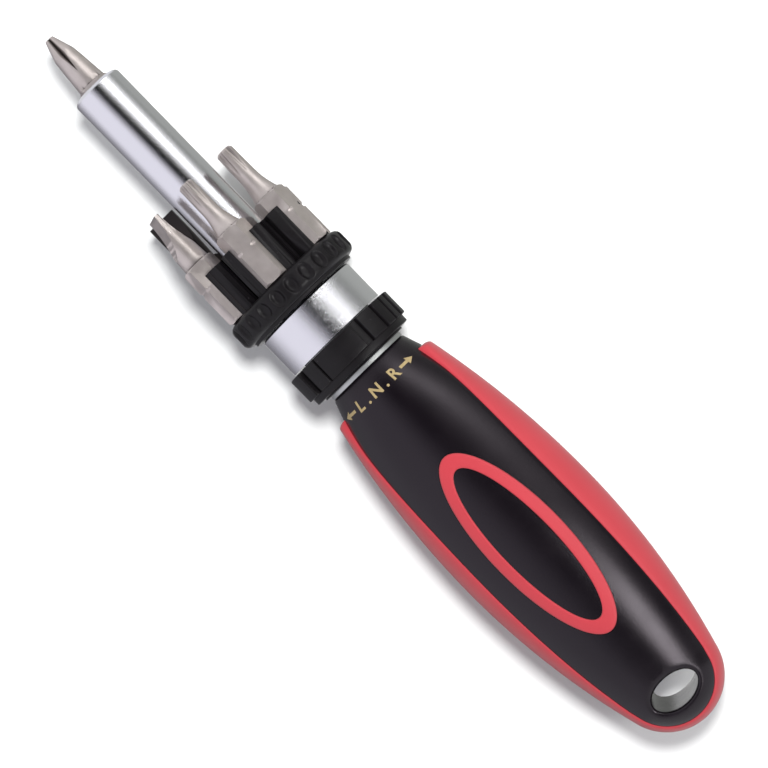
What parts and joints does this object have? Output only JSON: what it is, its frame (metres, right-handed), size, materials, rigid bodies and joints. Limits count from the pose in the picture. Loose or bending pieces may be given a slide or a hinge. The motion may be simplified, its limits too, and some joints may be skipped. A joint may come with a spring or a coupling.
{
  "type": "ratcheting screwdriver",
  "caption": "Ratcheting multi-bit screwdriver with a socketed shaft, a spinning bit magazine, a direction ring and a soft-banded oval handle with a hanging hole.",
  "frame": {"origin": "centre of the tool's box at its lowest point, under the finger flange", "axes": "+X along the tool's axis towards the handle's tail, +Z out of the handle's marked face"},
  "size_m": [0.1842, 0.0334, 0.029],
  "materials": {
    "bit_steel": "bead-blasted warm grey tool steel",
    "satin_chrome": "satin chrome plate",
    "magnet": "plain sintered",
    "spring_steel": "drawn wire",
    "black_nylon": "moulded matt black",
    "hard_steel": "hardened, oil black",
    "cast_zinc": "die-cast, bright",
    "bush_bronze": "sintered bronze",
    "black_handle": "satin moulded black",
    "red_grip": "moulded soft red elastomer"
  },
  "bodies": {
    "handle": {"handle_core": "black_handle", "side_grip": "red_grip", "front_oval_ring": "red_grip", "rear_oval_ring": "red_grip", "ratchet_body": "cast_zinc", "chrome_collar": "satin_chrome", "shaft_bush": "bush_bronze", "thrust_washer": "hard_steel", "pawl_pin": "hard_steel"},
    "selector": {"selector_ring": "black_nylon", "selector_plunger": "hard_steel", "plunger_spring": "spring_steel"},
    "pawl": {"direction_pawl": "hard_steel"},
    "drive": {"shaft": "satin_chrome", "ratchet_gear": "hard_steel", "gear_clip": "spring_steel", "socket_magnet": "magnet", "bit_keeper_ring": "spring_steel", "bit_magazine": "black_nylon"},
    "drive_bit": {"drive_bit_cross_large": "bit_steel"},
    "lobed_middle_bit": {"stored_bit_lobed_middle": "bit_steel"},
    "lobed_small_bit": {"stored_bit_lobed_small": "bit_steel"},
    "lobed_large_bit": {"stored_bit_lobed_large": "bit_steel"},
    "cross_small_bit": {"stored_bit_cross_small": "bit_steel"},
    "slotted_wide_bit": {"stored_bit_slotted_wide": "bit_steel"},
    "slotted_narrow_bit": {"stored_bit_slotted_narrow": "bit_steel"}
  },
  "joints": [
    {"name": "shaft_spin", "type": "hinge", "parent": "handle", "child": "drive", "pos_m": [-0.02, 0, 0.0145], "axis": [1, 0, 0], "continuous": true},
    {"name": "selector_turn", "type": "hinge", "parent": "handle", "child": "selector", "pos_m": [-0.0078, 0, 0.0145], "axis": [1, 0, 0], "range_deg": [-24, 24]},
    {"name": "pawl_rock", "type": "hinge", "parent": "handle", "child": "pawl", "pos_m": [-0.0087, 0, 0.02185], "axis": [1, 0, 0], "range_deg": [-6, 6]},
    {"name": "drive_bit_pull", "type": "slide", "parent": "drive", "child": "drive_bit", "axis": [-1, 0, 0], "range_m": [0, 0.0125]},
    {"name": "lobed_middle_pull", "type": "slide", "parent": "drive", "child": "lobed_middle_bit", "axis": [-1, 0, 0], "range_m": [0, 0.0105]},
    {"name": "lobed_small_pull", "type": "slide", "parent": "drive", "child": "lobed_small_bit", "axis": [-1, 0, 0], "range_m": [0, 0.0105]},
    {"name": "lobed_large_pull", "type": "slide", "parent": "drive", "child": "lobed_large_bit", "axis": [-1, 0, 0], "range_m": [0, 0.0105]},
    {"name": "cross_small_pull", "type": "slide", "parent": "drive", "child": "cross_small_bit", "axis": [-1, 0, 0], "range_m": [0, 0.0105]},
    {"name": "slotted_wide_pull", "type": "slide", "parent": "drive", "child": "slotted_wide_bit", "axis": [-1, 0, 0], "range_m": [0, 0.0105]},
    {"name": "slotted_narrow_pull", "type": "slide", "parent": "drive", "child": "slotted_narrow_bit", "axis": [-1, 0, 0], "range_m": [0, 0.0105]}
  ],
  "couplings": [
    {"joint": "pawl_rock", "follows": "selector_turn", "ratio": 0.25}
  ]
}
